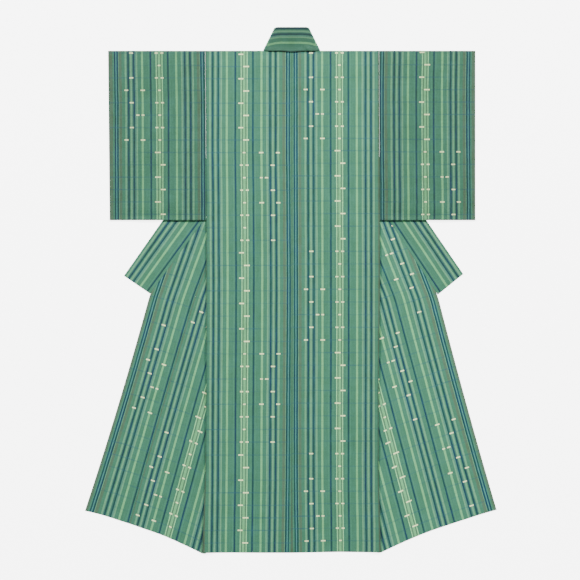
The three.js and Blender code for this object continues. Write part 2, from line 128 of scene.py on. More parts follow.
def smooth(x, low, high):
    """A soft step from 0 at low to 1 at high: 3t squared minus 2t cubed."""
    t = np.clip((x - low) / (high - low), 0, 1)
    return t * t * (3 - 2 * t)


def turn_x(y):
    """Distance out to the line where the front turns back: straight, leaning inwards."""
    return TURN_HEM_X - (y - HEM_Y) * math.tan(TURN_LEAN)


def line_x(points, y):
    """Distance out to a line through points, in straight stretches."""
    x, rising = np.array(points).T * MM
    return np.interp(y, rising, x)


def side_seam_x(side, y):
    """Distance out to the back's side seam."""
    return line_x(side["side_seam"], y)


def collar_paths(side):
    """The collar's sewn edge and free edge, each of two straight legs up to the turn line."""
    ends = ((COLLAR_TURN_SEAM_Y, "collar_seam"), (COLLAR_TURN_FREE_Y, "collar_free"))
    return [np.array([*np.array(side[key]) * MM, (turn_x(y), y)]) for y, key in ends]


def over_lowest(side, x, y):
    """Share of the lowest layer's height felt at a point, from its distance to the collar."""
    _, free = collar_paths(side)
    dx, dy = free[2] - free[1]
    inside = -((x - free[1][0]) * dy - (y - free[1][1]) * dx) / math.hypot(dx, dy)
    settled = 1 - smooth(y, SHOULDER_Y, SHOULDER_Y + NECK_SETTLE)
    return settled * smooth(inside, -COLLAR_SUPPORT[0], -COLLAR_SUPPORT[1])


def over_turned_in(x, y):
    """Share of the turned-in layer's height felt at a point, rising across the turn line."""
    return smooth(x, turn_x(y) - TURN_SUPPORT[0], turn_x(y) - TURN_SUPPORT[1])


def wave(x, y):
    """Soft waves of the upper layer: a sine across times a cosine along, never below zero."""
    across = np.sin(2 * math.pi * (x / WAVE["across"] + y / WAVE["drift"]))
    along = np.cos(2 * math.pi * y / WAVE["along"])
    return WAVE["height"] * (1 + across * along) * smooth(SHOULDER_Y - y, 8 * MM, 60 * MM)


def ripple(x, y, length, seed):
    """Fine unevenness between 0 and 1: five sines in directions spread by the golden angle."""
    total = np.zeros(np.broadcast(x, y).shape)
    for k in range(5):
        angle = GOLDEN_ANGLE * k + seed
        scale = 2 * math.pi / (length * (0.7 + 0.17 * k))
        total += np.sin(scale * (x * math.cos(angle) + y * math.sin(angle)) + 1.7 * k * seed)
    return 0.5 + total / 10


def spaced(length, high_rim=True):
    """Shares from 0 to 1 along a length, close together at its rounded rims."""
    inner = list(RIM)
    outer = [length - r for r in reversed(RIM)] if high_rim else [length]
    count = max(2, int(round((outer[0] - inner[-1]) / STEP)))
    middle = np.linspace(inner[-1], outer[0], count + 1)
    return np.concatenate([inner[:-1], middle, outer[1:]]) / length


def path_point(path, share):
    """Points at shares of the way along a path of straight legs, each leg an equal share."""
    place = np.clip(np.asarray(share, float) * (len(path) - 1), 0, len(path) - 1)
    knots = np.arange(len(path))
    return np.stack([np.interp(place, knots, path[:, k]) for k in (0, 1)], -1)


def half_turn(start, out, rising, steps=6):
    """Rows round a half circle from a row of points: out along a direction, and up or down."""
    angles = np.pi * np.arange(1, steps) / steps
    reach = FOLD_RADIUS * np.sin(angles)[:, None, None] * np.array([*out, 0.0])
    lift = rising * FOLD_RADIUS * (1 - np.cos(angles))[:, None, None] * np.array([0, 0, 1.0])
    return start[None] + reach + lift


# Warp lines of a spread front

def hem_point(side, at):
    """The spread front's hem at a share of its width: a line with a parabola's hollow. Beneath
    the back it runs on straight."""
    start, corner = side_seam_x(side, HEM_Y), np.array(side["hem_corner"]) * MM
    rise = np.maximum((corner[1] - FRONT_HEM_Y) * at, 0)
    hollow = HEM_HOLLOW * 4 * np.maximum(0, at * (1 - at))
    share, off = np.array(side["hem_off"]).T
    uneven = np.interp(at, share, off) * MM
    return start + (corner[0] - start) * at, FRONT_HEM_Y + rise + hollow + uneven


def warp_point(side, at, along):
    """A warp line curves evenly from its point on the hollow hem: it runs for a length at its
    mean angle, which is its angle at the hem plus half of its whole turn. Past the soft bend,
    which is an arc, it runs further inwards by a share of the height above."""
    table = np.array(side["warp"], float)
    lean = np.interp(at, table[:, 0], table[:, 1])
    turn = np.interp(at, table[:, 0], table[:, 2])
    angle = np.radians(lean + turn * along / 2)
    x, y = hem_point(side, at)
    y = y + along * np.cos(angle)
    past = np.maximum(y - BEND_Y, 0)
    bent = np.where(past < BEND_ARC, past ** 2 / (2 * BEND_ARC), past - BEND_ARC / 2)
    return x - along * np.sin(angle) - side["bend"] * bent, y


def warp_place(side, x, y):
    """The warp line and the length along it for points of the spread front, by Newton steps."""
    at = np.full(np.shape(x), 0.5)
    along = np.full(np.shape(x), 0.5)
    small = 1e-5
    for _ in range(12):
        px, py = warp_point(side, at, along)
        ax, ay = warp_point(side, at + small, along)
        bx, by = warp_point(side, at, along + small)
        ax, ay, bx, by = (ax - px) / small, (ay - py) / small, (bx - px) / small, (by - py) / small
        ex, ey = x - px, y - py
        det = ax * by - bx * ay
        at = at + (ex * by - ey * bx) / det
        along = along + (ey * ax - ex * ay) / det
    return at, along


def collar_seam_x(side, y):
    """Distance out to where the cloth sewn to the collar ends: the line of the collar seam's
    shown leg, or above that leg the hidden one where it lies further in."""
    start, under, end = collar_paths(side)[0]
    shown = start[0] + (y - start[1]) * (under[0] - start[0]) / (under[1] - start[1])
    hidden = under[0] + (y - under[1]) * (end[0] - under[0]) / (end[1] - under[1])
    return np.where(y > under[1], np.minimum(shown, hidden), shown)


def length_to_collar(side, at):
    """Length of warp lines from the hem up to the collar's sewn edge, found by halving."""
    low, high = np.zeros(np.shape(at)), np.full(np.shape(at), 2.0)
    for _ in range(40):
        middle = (low + high) / 2
        x, y = warp_point(side, at, middle)
        below = x < collar_seam_x(side, y)
        low, high = np.where(below, middle, low), np.where(below, high, middle)
    return low


# Shells

def shell(name, points, uv, hand, mask=None, shade=None):
    """A thin closed shell of cloth on a grid of points. Each face is offset along the grid's
    normal by half the thickness, which runs down to nothing over three rows at every border,
    as a quarter circle does, so that both faces share the border's points."""
    points = points.copy()
    points[..., 0] *= hand
    m, n = points.shape[:2]
    cells = np.ones((m - 1, n - 1), bool) if mask is None else mask
    around = np.zeros((m, n), int)
    for di in (0, 1):
        for dj in (0, 1):
            around[di:m - 1 + di, dj:n - 1 + dj] += cells
    used = around > 0
    depth = np.where(around == 4, 3, 0)
    for ring in (1, 2):
        padded = np.pad(depth, 1)
        near = np.min([padded[i:i + m, j:j + n] for i in range(3) for j in range(3)], axis=0)
        depth = np.where((depth == 3) & (near < ring), ring, depth)
    lengthwise = np.gradient(points, axis=0)
    crosswise = np.gradient(points, axis=1)
    normal = np.cross(crosswise, lengthwise)
    normal /= np.maximum(np.linalg.norm(normal, axis=2, keepdims=True), 1e-12)
    if normal[used][:, 2].sum() < 0:
        normal = -normal
    half = SHELL / 2 * np.array([0.0, 0.66, 0.94, 1.0])[depth][..., None]
    top_index = np.full((m, n), -1)
    top_index[used] = np.arange(used.sum())
    inside = used & (depth > 0)
    low_index = top_index.copy()
    low_index[inside] = used.sum() + np.arange(inside.sum())
    vertices = np.concatenate([(points + half * normal)[used], (points - half * normal)[inside]])
    uvs = np.concatenate([uv[used], uv[inside]])
    shade = np.ones((m, n)) if shade is None else shade
    shades = np.concatenate([shade[used], shade[inside]])
    i, j = np.nonzero(cells)
    top = np.stack([top_index[i, j], top_index[i, j + 1],
                    top_index[i + 1, j + 1], top_index[i + 1, j]], 1)
    low = np.stack([low_index[i, j], low_index[i + 1, j],
                    low_index[i + 1, j + 1], low_index[i, j + 1]], 1)
    corner = vertices[top[:, 0]]
    facing = np.cross(vertices[top[:, 1]] - corner, vertices[top[:, 3]] - corner)
    if np.sum(facing * normal[i, j]) < 0:
        top, low = top[:, ::-1], low[:, ::-1]
    faces = np.concatenate([top, low])
    return mesh_object(name, vertices, faces, uvs, shades)


def mesh_object(name, vertices, faces, uvs, shades):
    """Whole arrays into a smooth-shaded mesh of quads, with its cloth coordinates and the
    painted shade along its seams and edges."""
    mesh = bpy.data.meshes.new(name)
    mesh.from_pydata(vertices, [], faces.tolist())
    layer = mesh.uv_layers.new(name="cloth")
    corners = np.empty(len(mesh.loops), np.int32)
    mesh.loops.foreach_get("vertex_index", corners)
    layer.data.foreach_set("uv", uvs[corners].astype(np.float32).ravel())
    painted_edge_shade = mesh.attributes.new("shade", "FLOAT", "POINT")
    painted_edge_shade.data.foreach_set("value", shades.astype(np.float32))
    mesh.polygons.foreach_set("use_smooth", np.ones(len(faces), bool))
    mesh.update()
    piece = bpy.data.objects.new(name, mesh)
    bpy.context.scene.collection.objects.link(piece)
    return piece


def on_layer(x, y, layers):
    """Points in the middle of the cloth, on top of a number of layers."""
    return np.stack(np.broadcast_arrays(x, y, layers * LAYER + CLOTH / 2), -1)


# Panels

def back_panel(name, side, grain):
    """Back: floor level by the centre, lifted over the layers beneath, to the shoulder fold,
    and from there the same cloth runs down beneath as far as the folded front."""
    hand = side["hand"]
    width = side_seam_x(side, SHOULDER_Y)
    neck_share = (NECK_HALF_WIDTH + 1 * MM) / width
    near_neck = neck_share + np.array([-0.004, 0, 0.0004, 0.0012, 0.003])
    across = np.sort(np.concatenate([spaced(width), near_neck]))
    first_full = int(np.searchsorted(across, neck_share - 1e-9))
    a, up = np.meshgrid(across, spaced(SHOULDER_Y - HEM_Y))
    fold_y = SHOULDER_Y - CLOTH / 2 - FOLD_RADIUS
    top_y = np.where(np.arange(len(across)) >= first_full, fold_y, SHOULDER_Y)[None, :]
    y = HEM_Y + (top_y - HEM_Y) * up
    x = side_seam_x(side, y) * a - SEAM_BITE * (1 - a)
    turned = over_turned_in(x, y)
    upper = on_layer(x, y, turned * (1 + over_lowest(side, x, y)))
    upper[..., 1] += hem_unevenness(x * hand) * (1 - smooth(y, HEM_Y, HEM_Y + 250 * MM))
    relief = turned * wave(x, y) + surface(x * hand, y, 1.3)
    to_seam = side_seam_x(side, y) - x
    upper[..., 2] += relief * smooth(SHOULDER_Y - y, 0, 30 * MM) + edge_lift(to_seam, y)
    edge = upper[-1]
    turn = half_turn(edge, (0, 1), -1)
    down = np.linspace(0, 1, 13)[:, None]
    low_y = fold_y + (TURN_TOP_Y + GAP - fold_y) * down
    inner_x = np.interp(low_y, [TURN_TOP_Y, COLLAR_TURN_SEAM_Y, SHOULDER_Y],
                        [turn_x(TURN_TOP_Y), turn_x(COLLAR_TURN_SEAM_Y), NECK_HALF_WIDTH]) + 2 * MM
    start_x = edge[first_full, 0]
    share = np.clip((edge[None, :, 0] - start_x) / (edge[-1, 0] - start_x), 0, 1)
    low_x = inner_x + (side_seam_x(side, low_y) - inner_x) * share
    low_z = over_lowest(side, low_x, low_y) * LAYER + CLOTH / 2
    beneath = np.stack(np.broadcast_arrays(low_x, low_y, low_z), -1)
    drop = (edge[None, :, 2] - LAYER - beneath[:1, :, 2]) * (1 - smooth(down, 0, 0.12))
    beneath[..., 2] += drop
    points = np.concatenate([upper, turn, beneath])
    beyond = 2 * SHOULDER_Y - np.broadcast_to(low_y, low_x.shape)
    lengths = np.concatenate([y, np.repeat(y[-1:], len(turn), 0), beyond])
    cells = np.ones((points.shape[0] - 1, points.shape[1] - 1), bool)
    cells[len(upper) - 1:, :first_full] = False
    # Painted shade along the centre seam, along the side seam and under the neckline
    shade = edge_shade(x, 0.3, 2.6 * MM) * edge_shade(to_seam, 0.5, 4 * MM, y)
    at_neck = edge_shade(SHOULDER_Y - y, 0.5, 5 * MM)
    shade *= np.where(x < NECK_HALF_WIDTH - 4 * MM, at_neck, 1)
    shade = np.pad(shade, [(0, len(points) - len(upper)), (0, 0)], constant_values=1)
    return shell(name, points, cloth_uv(points[..., 0] * hand, lengths, grain), hand, cells, shade)


def hem_unevenness(x):
    """How far the hem lies above its straight line, across the garment."""
    across = np.array([-288, -200, -100, 0, 60, 110, 160, 225, 288]) * MM
    above = np.array([0, 0.8, 0.2, 0.2, 1.2, 2.4, 3.2, 2.2, 1.6]) * MM
    return np.interp(x, across, above)


def surface(x, y, seed):
    """Fine unevenness of a large panel: soft dents about 9 cm long, and finer ones."""
    return 0.5 * MM * ripple(x, y, 90 * MM, seed) + 0.18 * MM * ripple(x, y, 26 * MM, seed + 1)


def edge_shade(distance, depth, width, y=0.0):
    """Painted shade: a darker line along an edge or a seam, fading with the square of the
    distance, and uneven along its length."""
    uneven = 0.8 + 0.2 * np.sin(y * 47) * np.sin(y * 19 + 2)
    return 1 - depth * uneven * np.exp(-(distance / width) ** 2)


def edge_lift(inside, y):
    """A sewn edge stands a little off the cloth beneath it, unevenly along its length."""
    uneven = 0.7 + 0.3 * np.sin(y * 31) * np.sin(y * 12.7 + 1)
    return EDGE_LIFT * uneven * (1 - smooth(inside, 0, 14 * MM))


def cloth_uv(x, y, grain):
    """Cloth coordinates of an upright panel. Its loom middle is a line through points of the
    picture, and its weft marks' rows are counted between the heights that the picture shows."""
    picture_y = PICTURE_MIDDLE[1] - y / PIXEL
    middle_x, middle_y = np.array(grain["middle"]).T
    row_y, row = np.array(grain["rows"]).T
    middle = (np.interp(picture_y, middle_y, middle_x) - PICTURE_MIDDLE[0]) * PIXEL
    pitch = TICK_PITCH / PIXEL
    rows = np.interp(picture_y, row_y, row)
    past = np.maximum(picture_y - row_y[-1], 0) + np.minimum(picture_y - row_y[0], 0)
    rows = rows + grain["run"] * past / pitch
    across = grain["run"] * grain["scale"] * (x - middle)
    return np.stack([across, (rows + 0.5) * TICK_PITCH], -1)


def sleeve_panel(name, side, grain):
    """Sleeve: one length of cloth folded over the shoulder line, its two halves lying on each
    other, the lower on the floor or the collar."""
    hand = side["hand"]
    fold_y = SHOULDER_Y - CLOTH / 2 - FOLD_RADIUS
    height = fold_y - SLEEVE_BOTTOM_Y
    across, up = np.meshgrid(spaced(SLEEVE_WIDTH), spaced(height, high_rim=False))
    y = SLEEVE_BOTTOM_Y + height * up
    inner_x, cuff_x = side_seam_x(side, y) + GAP, line_x(side["cuff"], y)
    x = inner_x + (cuff_x - inner_x) * across
    lowest = over_lowest(side, x, y)
    rim = smooth(cuff_x - x, 8 * MM, 40 * MM) * smooth(y - SLEEVE_BOTTOM_Y, 8 * MM, 40 * MM)
    upper = on_layer(x, y, lowest + 1)
    fine = surface(x * hand, y, 2.1) * smooth(SHOULDER_Y - y, 0, 30 * MM)
    lift = edge_lift(y - SLEEVE_BOTTOM_Y, x) * SLEEVE_EDGE_LIFTS
    upper[..., 2] += rim * wave(x, y) + fine + lift
    lower = on_layer(x, y, lowest)[::-1]
    turn = half_turn(upper[-1], (0, 1), -1)
    points = np.concatenate([upper, turn, lower])
    lengths = np.concatenate([y, np.repeat(y[-1:], len(turn), 0), 2 * SHOULDER_Y - y[::-1]])
    # Painted shade along the sleeve's inner edge by the back and along its bottom edge
    shade = edge_shade(x - inner_x, 0.35, 4 * MM, y)
    shade *= edge_shade(y - SLEEVE_BOTTOM_Y, 0.25, 4 * MM, x)
    shade = np.pad(shade, [(0, len(points) - len(upper)), (0, 0)], constant_values=1)
    uv = cloth_uv(points[..., 0] * hand, lengths, grain)
    return shell(name, points, uv, hand, shade=shade)


def open_ground(side, points):
    """Where cloth on the floor has nothing over it: outside the back and below the sleeve."""
    x, y = points[..., 0], points[..., 1]
    edge = side_seam_x(side, y)
    return smooth(x, edge + 2 * MM, edge + 40 * MM) * smooth(SLEEVE_BOTTOM_Y - y, 2 * MM, 40 * MM)


def front_panel(name, side, u_from_at, v_from_along):
    """Front: spread on the floor from the overlap seam to the turn line, folded, and lying
    beneath the back as far as the side seam."""
    hand = side["hand"]
    seam_length = float(length_to_collar(side, np.array(OVERLAP_SHARE))) + SEAM_BITE
    rows_low, rows_high = 190, 26
    rim = np.array(RIM) / seam_length
    up = np.concatenate([rim[:-1], np.linspace(rim[-1], 1, rows_low)])
    collar_x, collar_y = warp_point(side, OVERLAP_SHARE, seam_length)
    tip = np.array([turn_x(TURN_TOP_Y) + 11 * MM, TURN_TOP_Y])
    past = np.linspace(0, 1, rows_high + 1)[1:]
    seam_low = np.stack(warp_point(side, np.full(len(up), OVERLAP_SHARE), up * seam_length), -1)
    seam_high = np.array([collar_x, collar_y]) * (1 - past[:, None]) + tip * past[:, None]
    seam = np.concatenate([seam_low, seam_high])
    high = FOLD_SHARE_AT_COLLAR + (1 - FOLD_SHARE_AT_COLLAR) * past
    share = np.concatenate([up * FOLD_SHARE_AT_COLLAR, high])
    hem_y = FRONT_HEM_Y + side["hem_off"][0][1] * MM
    fold_y = hem_y + (TURN_TOP_Y - hem_y) * share
    fold = np.stack([turn_x(fold_y), fold_y], -1)
    across = spaced(FRONT_GRID_WIDTH, high_rim=False)
    flat = seam[:, None] * (1 - across[None, :, None]) + fold[:, None] * across[None, :, None]
    start = side_seam_x(side, HEM_Y)
    hem_at = (flat[0, :, 0] - start) / (side["hem_corner"][0] * MM - start)
    hem_lift = hem_point(side, hem_at)[1] - flat[0, :, 1]
    flat[..., 1] += np.clip(1 - 3 * share, 0, 1)[:, None] * hem_lift
    at, along = warp_place(side, flat[..., 0], flat[..., 1])
    spread = on_layer(flat[..., 0], flat[..., 1], 0)
    spread[..., 2] += surface(flat[..., 0] * hand, flat[..., 1], 0.7) * open_ground(side, flat)
    fold_start = spread[:, -1]
    turn = np.moveaxis(half_turn(fold_start, (-1, 0), 1), 0, 1)
    inner = np.linspace(0, 1, 9)
    side_x = side_seam_x(side, fold_y) - 3 * MM
    low_x = fold[:, :1] + (side_x[:, None] - fold[:, :1]) * inner
    turned = on_layer(low_x, fold_y[:, None], 1)
    points = np.concatenate([spread, turn, turned], axis=1)
    at_fold = np.repeat(at[:, -1:], turn.shape[1], 1)
    along_fold = np.repeat(along[:, -1:], turn.shape[1], 1)
    at_inner = at[:, -1:] * (1 - inner)
    along_inner = along[:, -1:] + 0 * inner
    at = np.concatenate([at, at_fold, at_inner], 1)
    along = np.concatenate([along, along_fold, along_inner], 1)
    uv = np.stack([u_from_at(at), v_from_along(along)], -1)
    return shell(name, points, uv, hand)


def overlap_panel(name, side, u_from_at, v_from_along):
    """Overlap panel: each of its warp lines runs from the hem up to the collar's sewn edge, one
    of them to the bend of that edge."""
    hand = side["hand"]
    at = OVERLAP_SHARE + (1 - OVERLAP_SHARE) * spaced(OVERLAP_WIDTH)
    at_bend, _ = warp_place(side, *collar_paths(side)[0][1])
    at = np.sort(np.append(at, at_bend))
    length = length_to_collar(side, at) + SEAM_BITE
    up = spaced(0.9)
    at, up = np.meshgrid(at, up)
    along = up * length[None, :]
    x, y = warp_point(side, at, along)
    points = on_layer(x, y, 0)
    points[..., 2] += surface(x * hand, y, 0.7) * open_ground(side, points)
    uv = np.stack([u_from_at(at), v_from_along(along)], -1)
    return shell(name, points, uv, hand)


# Places across the loom that the collar's cloth shows, how its neck stands, and the painted shade of
# the neck
COLLAR_U = (17.5 * MM, 122.5 * MM)
NECK_U = (31.2 * MM, 108.2 * MM)
NECK_SIDE_DROP = 15 * MM
NECK_LEDGE = 3.2 * MM
# Painted shade: the whole stretch behind the neck is darkened by this factor
NECK_SHADE = 0.54


def neck_side_x(y):
    """Distance out to the sloping side of the collar behind the neck."""
    slope = (NECK_HALF_WIDTH - NECK_TOP_HALF_WIDTH) / (NECK_TOP_Y - SHOULDER_Y)
    return NECK_HALF_WIDTH - (y - SHOULDER_Y) * slope


def collar_half(side):
    """Rows of one half of the collar, from its cut end to the neck's sloping side: flat on
    the floor, folded back along the turn line, then up to the neck."""
    seam, free = collar_paths(side)
    across = spaced(COLLAR_WIDTH)
    shown = spaced(0.3, high_rim=False) / 2
    hidden = 0.5 + np.linspace(0, 1, 30)[1:] / 2
    share = np.concatenate([shown, hidden])
    low = path_point(seam, share)[:, None] * (1 - across[None, :, None]) \
        + path_point(free, share)[:, None] * across[None, :, None]
    flat = on_layer(low[..., 0], low[..., 1], 0)
    hand = side["hand"]
    flat[..., 2] += surface(low[..., 0] * hand, low[..., 1], 1.9) * open_ground(side, low)
    out = (-math.cos(TURN_LEAN), -math.sin(TURN_LEAN))
    first_turn = half_turn(flat[-1], out, 1)
    slope = math.atan2(NECK_HALF_WIDTH - NECK_TOP_HALF_WIDTH, NECK_TOP_Y - SHOULDER_Y)
    inset = (FOLD_RADIUS + CLOTH / 2) / math.cos(slope)
    neck_y = np.array([SHOULDER_Y + GAP, NECK_TOP_Y - 3 * MM])
    neck_y = neck_y[0] + (neck_y[1] - neck_y[0]) * across
    neck_x = neck_side_x(neck_y) - inset
    rise = np.linspace(0, 1, 14)[:, None]
    x = flat[-1][None, :, 0] * (1 - rise) + neck_x[None] * rise
    y = flat[-1][None, :, 1] * (1 - rise) + neck_y[None] * rise
    layers = over_lowest(side, x, y)
    layers[0] = 1
    raised = on_layer(x, y, layers)
    second_turn = half_turn(raised[-1], (math.cos(slope), math.sin(slope)), 1)
    u = COLLAR_U[0] + (COLLAR_U[1] - COLLAR_U[0]) * across
    return across, np.concatenate([flat, first_turn, raised, second_turn]), u


def collar_strip(name):
    """Collar: both halves and the stretch behind the neck, as one strip of cloth."""
    left, right = SIDES["left"], SIDES["right"]
    across, left_rows, u = collar_half(left)
    _, right_rows, _ = collar_half(right)
    left_rows = left_rows.copy()
    left_rows[..., 0] *= -1
    columns = 34
    share = np.linspace(0, 1, columns + 2)[1:-1, None]
    top_y = NECK_TOP_Y - CLOTH / 2 - FOLD_RADIUS
    y = SHOULDER_Y + GAP + (top_y - SHOULDER_Y - GAP) * across[None] + 0 * share
    half = neck_side_x(y) - 2.2 * MM
    x = half * (2 * share - 1)
    side_layers = np.where(x < 0, over_lowest(left, -x, y), over_lowest(right, x, y))
    beside = over_turned_in(np.abs(x), y) * (1 + side_layers)
    over_rest = smooth(y, SHOULDER_Y + 8 * MM, NECK_TOP_Y - NECK_TURN_IN - 12 * MM)
    neck = on_layer(x, y, np.maximum(beside, over_rest))
    end = np.abs(x) / neck_side_x(y)
    inner = 1 - smooth(end, 0.8, 1)
    above_seam = y - SHOULDER_Y
    neck[..., 1] += neckline_off(x) * inner * (1 - smooth(above_seam, 0, 20 * MM))
    neck[..., 2] += NECK_LEDGE * inner * (1 - smooth(above_seam, 1 * MM, 14 * MM))
    neck[..., 2] += (0.6 * MM * ripple(x, y, 70 * MM, 2.6) + neck_crease(x, y)) * inner
    neck_u = NECK_U[0] + NECK_SIDE_DROP * end ** 4 \
        + (NECK_U[1] - NECK_U[0] - NECK_SIDE_DROP * end ** 4) * across[None]
    side_u = np.repeat(u[None], len(left_rows), 0)
    u_all = np.concatenate([side_u, neck_u, side_u])
    rows = np.concatenate([left_rows, neck, right_rows[::-1]])
    turned, turned_u = neck_turned_in(neck[:, -1], end[:, -1], neck_u[:, -1])
    padding = [(len(left_rows), len(right_rows)), (0, 0)]
    turned = np.pad(turned, [*padding, (0, 0)], mode="edge")
    rows = np.concatenate([rows, turned], axis=1)
    u_all = np.concatenate([u_all, np.pad(turned_u, padding, mode="edge")], axis=1)
    cells = np.ones((rows.shape[0] - 1, rows.shape[1] - 1), bool)
    cells[:len(left_rows), len(across) - 1:] = False
    cells[-len(right_rows):, len(across) - 1:] = False
    along = np.concatenate([[0], np.cumsum(np.linalg.norm(np.diff(rows[:, 0], axis=0), axis=1))])
    uv = np.stack([u_all, np.repeat(along[:, None], rows.shape[1], 1)], -1)
    shade = np.ones(rows.shape[:2])
    at_neck = slice(len(left_rows), len(rows) - len(right_rows))
    # Painted shade over the neck: darker as a whole, and more so along the neckline and towards its
    # ends
    shade[at_neck, :len(across)] = NECK_SHADE * edge_shade(above_seam, 0.45, 5 * MM)
    shade[at_neck, :len(across)] *= edge_shade(end - 1, 0.4, 0.05)
    return shell(name, rows, uv, 1, cells, shade)


def neck_turned_in(edge, end, edge_u):
    """Cloth turned under along the neck's top edge: a half turn and then a flat strip, which
    narrows towards both ends."""
    turn = half_turn(edge, (0, 1), -1)
    depth = 1 * MM + (NECK_TURN_IN - 1 * MM) * (1 - smooth(end, 0.7, 0.85))
    back = np.array([0.25, 0.5, 0.75, 1])[:, None] * depth
    flat = np.stack([edge[:, 0] + 0 * back, edge[:, 1] - back, edge[:, 2] - LAYER + 0 * back], -1)
    turned = np.moveaxis(np.concatenate([turn, flat]), 0, 1)
    around = FOLD_RADIUS * math.pi * np.arange(1, len(turn) + 1)[:, None] / (len(turn) + 1)
    run = np.concatenate([around + 0 * depth, FOLD_RADIUS * math.pi + back])
    return turned, (edge_u + run).T


def neckline_off(x):
    """How far the collar's sewn edge lies past the back's edge: lowest in the middle."""
    return -(1.6 + 2.4 * np.exp(-(x / (24 * MM)) ** 2)) * MM


def neck_crease(x, y):
    """One short tuck by the neckline, right of the middle: a ridge running down and out that
    falls away sharply on its lower side."""
    right, up = (x - 51 * MM) / math.sqrt(2), (y - SHOULDER_Y - 7 * MM) / math.sqrt(2)
    run, off = right - up, right + up
    width = np.where(off > 0, 6 * MM, 1.8 * MM)
    return 4.5 * MM * np.exp(-(off / width) ** 2 - (run / (10 * MM)) ** 2)


# Cloth

def node(tree, kind, **settings):
    """A new node with its settings."""
    made = tree.nodes.new(kind)
    for key, value in settings.items():
        setattr(made, key, value)
    return made


def math_node(tree, operation, *inputs, clamp=False):
    """The result of a sum on sockets and plain numbers."""
    made = node(tree, "ShaderNodeMath", operation=operation, use_clamp=clamp)
    for k, value in enumerate(inputs):
        if isinstance(value, (int, float)):
            made.inputs[k].default_value = value
        else:
            tree.links.new(value, made.inputs[k])
    return made.outputs[0]


def mix_colour(tree, factor, first, second, blend="MIX"):
    """The second colour laid over the first, by a factor."""
    made = node(tree, "ShaderNodeMix", data_type="RGBA", blend_type=blend)
    sockets = (made.inputs[0], made.inputs[6], made.inputs[7])
    for socket, value in zip(sockets, (factor, first, second)):
        if isinstance(value, (int, float)):
            socket.default_value = value
        elif isinstance(value, tuple):
            socket.default_value = (*value, 1)
        else:
            tree.links.new(value, socket)
    return made.outputs[2]


def srgb(r, g, b):
    """A colour of 0 to 255 steps as linear values."""
    c = np.array([r, g, b]) / 255
    return tuple(float(v) for v in np.where(c <= 0.04045, c / 12.92, ((c + 0.055) / 1.055) ** 2.4))


# Base colours of the threads. They were worked out so that, under this scene's lights, the
# stripes show the colours that were fitted to the photo's stripes
GREEN = srgb(52, 106, 79)
FAINT = srgb(57, 116, 87)
PALE_GREEN = srgb(94, 162, 106)
BEIGE = srgb(97, 164, 108)
LIGHT = srgb(86, 143, 103)
CREAM = srgb(126, 202, 134)
SOFT_GREEN = srgb(77, 119, 83)
GREY_GREEN = srgb(64, 115, 94)
TEAL = srgb(47, 92, 78)
DUSK = srgb(50, 84, 63)
OLIVE = srgb(66, 95, 70)
DARK_GREEN = srgb(11, 60, 54)
NAVY = srgb(8, 55, 52)
NAVY_BLUE = srgb(4, 44, 68)
LIGHT_BLUE = srgb(60, 120, 116)
MARK = srgb(242, 252, 186)
WEFT_BLUE = srgb(34, 76, 88)
DYE_TINT = srgb(44, 104, 126)

# Stripes by distance from the middle of the loom width, the same on both sides of it, on a
# green ground
STRIPES = (
    # from mm, to mm, colour
    (0.0, 3.9, PALE_GREEN),
    (3.9, 5.2, DUSK),
    (5.2, 7.4, SOFT_GREEN),
    (8.0, 10.8, CREAM),
    (20.0, 22.4, FAINT),
    (26.4, 30.9, NAVY),
    (30.9, 32.8, TEAL),
    (34.0, 36.6, FAINT),
    (53.2, 60.0, BEIGE),
    (72.8, 77.6, LIGHT),
    (77.6, 81.8, GREY_GREEN),
    (81.8, 87.0, DARK_GREEN),
    (87.0, 91.0, TEAL),
    (91.0, 97.4, LIGHT),
    (100.9, 105.8, NAVY),
    (105.8, 109.4, TEAL),
    (109.4, 115.2, LIGHT),
    (126.0, 135.2, OLIVE),
    (135.2, 136.4, LIGHT),
    (137.0, 142.4, NAVY),
    (143.0, 145.6, LIGHT_BLUE),
    (146.5, 151.3, DARK_GREEN),
    (151.8, 154.4, FAINT),
    (156.2, 170.0, OLIVE),
)
HALF_LOOM = 170 * MM
STRIPES_IN_RAMP = 14
WEAVE_PITCH = 0.9 * MM

# Weft marks: place across the loom width, length across, and the rows of a repeat that have them
TICK_ROWS = 16
TICK_HALF_HEIGHT = 2.6  # millimetres, to where a mark has faded out
TICKS = (
    # u mm, length mm, rows
    (-9.4, 9.6, (0, 2, 4, 6)),
    (9.4, 9.6, (0, 2, 4, 6)),
    (0.0, 8.6, (1, 3, 5, 7)),
    (-6.5, 19.0, (8, 10, 12, 14)),
    (10.8, 16.5, (9, 11, 13, 15)),
    (-93.7, 12.6, (0, 2, 4, 6)),
    (-111.6, 12.6, (3, 7)),
    (-56.3, 14.5, (3, 7)),
    (-56.3, 9.0, (5,)),
    (-73.4, 11.0, (5,)),
)


def ramp_node(tree, factor, stops):
    """A stepped colour ramp whose stops are (place, colour), in order of place."""
    made = node(tree, "ShaderNodeValToRGB")
    ramp = made.color_ramp
    ramp.interpolation = "CONSTANT"
    while len(ramp.elements) > 1:
        ramp.elements.remove(ramp.elements[-1])
    for k, (place, colour) in enumerate(stops):
        element = ramp.elements[0] if k == 0 else ramp.elements.new(place)
        element.position = place
        element.color = (*colour, 1)
    tree.links.new(factor, made.inputs[0])
    return made.outputs[0]


